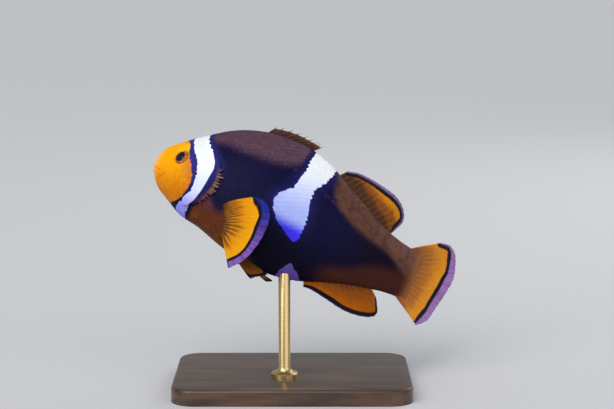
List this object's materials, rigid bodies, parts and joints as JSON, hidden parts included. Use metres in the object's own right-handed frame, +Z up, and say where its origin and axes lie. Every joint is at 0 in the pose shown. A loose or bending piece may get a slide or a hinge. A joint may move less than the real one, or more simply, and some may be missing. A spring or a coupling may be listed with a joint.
{
  "type": "clownfish display model",
  "caption": "Life-size orange clownfish held in a banking turn on a small display stand, with rayed fins, spiny gill covers and two white bars.",
  "frame": {"origin": "centre of the underside of the stand's base", "axes": "+Z up, the fish's head towards -X and its left side towards -Y"},
  "size_m": [0.0801, 0.0455, 0.0662],
  "materials": {
    "head_skin": "satin skin, orange with a black and a white band",
    "flank_skin": "satin scaled skin, near black with a white bar",
    "stalk_skin": "satin scaled skin, dark brown",
    "gill_skin": "satin, brown and white",
    "spine_brown": "satin membrane over hard spines",
    "fin_orange": "satin membrane, black line and pale edge",
    "eye": "wet gloss",
    "stand_base": "dark satin wood",
    "stand_rod": "satin metal"
  },
  "bodies": {
    "root": {"head": "head_skin", "trunk": "flank_skin", "tail_stalk": "stalk_skin", "gill_cover_left": "gill_skin", "gill_cover_right": "gill_skin", "eye_left": "eye", "eye_right": "eye", "dorsal_fin_spiny": "spine_brown", "dorsal_fin_soft": "fin_orange", "tail_fin": "fin_orange", "anal_fin": "fin_orange", "pectoral_fin_left": "fin_orange", "pectoral_fin_right": "fin_orange", "pelvic_fin_left": "fin_orange", "pelvic_fin_right": "fin_orange", "stand_base": "stand_base", "stand_rod": "stand_rod"}
  },
  "joints": []
}
